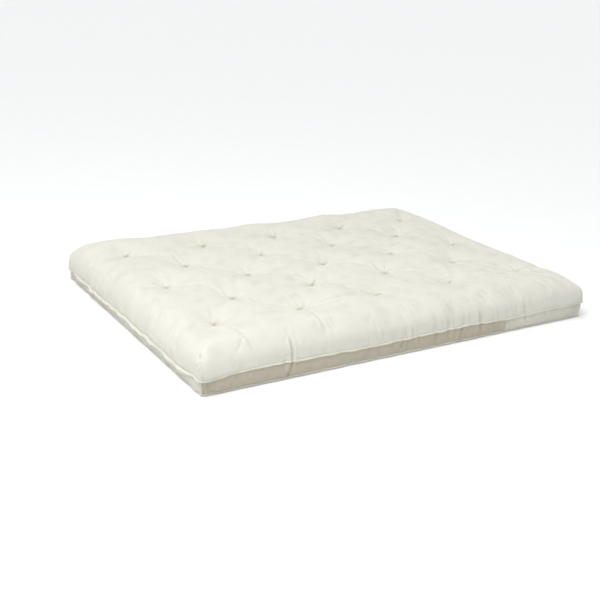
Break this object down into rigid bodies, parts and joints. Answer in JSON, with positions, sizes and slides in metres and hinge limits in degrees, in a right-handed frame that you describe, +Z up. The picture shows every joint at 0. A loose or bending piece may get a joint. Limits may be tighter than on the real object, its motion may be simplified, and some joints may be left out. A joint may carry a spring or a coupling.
{
  "type": "futon mattress",
  "caption": "Tufted futon mattress with a canvas cover, boxed and bound edges, cotton batting over a foam core, hinged where it folds from bed to sofa.",
  "frame": {"origin": "centre of the flat underside", "axes": "+X along the long side, +Y from the seat edge to the back edge, +Z up"},
  "size_m": [1.9, 1.4, 0.18],
  "materials": {
    "canvas_top": "matte",
    "canvas_border": "matte",
    "canvas_bottom": "matte",
    "canvas_binding": "matte",
    "cotton_batting": "matte",
    "foam": "matte",
    "twine": "matte"
  },
  "bodies": {
    "seat_half": {"top_panel_seat": "canvas_top", "bottom_panel_seat": "canvas_bottom", "border_left_seat": "canvas_border", "border_right_seat": "canvas_border", "top_edge_binding_seat": "canvas_binding", "bottom_edge_binding_seat": "canvas_binding", "lower_batting_outer_seat": "cotton_batting", "lower_batting_inner_seat": "cotton_batting", "foam_core_seat": "foam", "upper_batting_inner_seat": "cotton_batting", "upper_batting_outer_seat": "cotton_batting", "tuft_ties_seat": "twine", "border_front_long": "canvas_border", "border_front_short": "canvas_border"},
    "back_half": {"top_panel_back": "canvas_top", "bottom_panel_back": "canvas_bottom", "border_left_back": "canvas_border", "border_right_back": "canvas_border", "top_edge_binding_back": "canvas_binding", "bottom_edge_binding_back": "canvas_binding", "lower_batting_outer_back": "cotton_batting", "lower_batting_inner_back": "cotton_batting", "foam_core_back": "foam", "upper_batting_inner_back": "cotton_batting", "upper_batting_outer_back": "cotton_batting", "tuft_ties_back": "twine", "border_back_long": "canvas_border", "border_back_short": "canvas_border"}
  },
  "joints": [
    {"name": "fold", "type": "hinge", "parent": "seat_half", "child": "back_half", "pos_m": [0, -0.11, 0.1803], "axis": [1, 0, 0], "range_deg": [0, 179.5]}
  ]
}
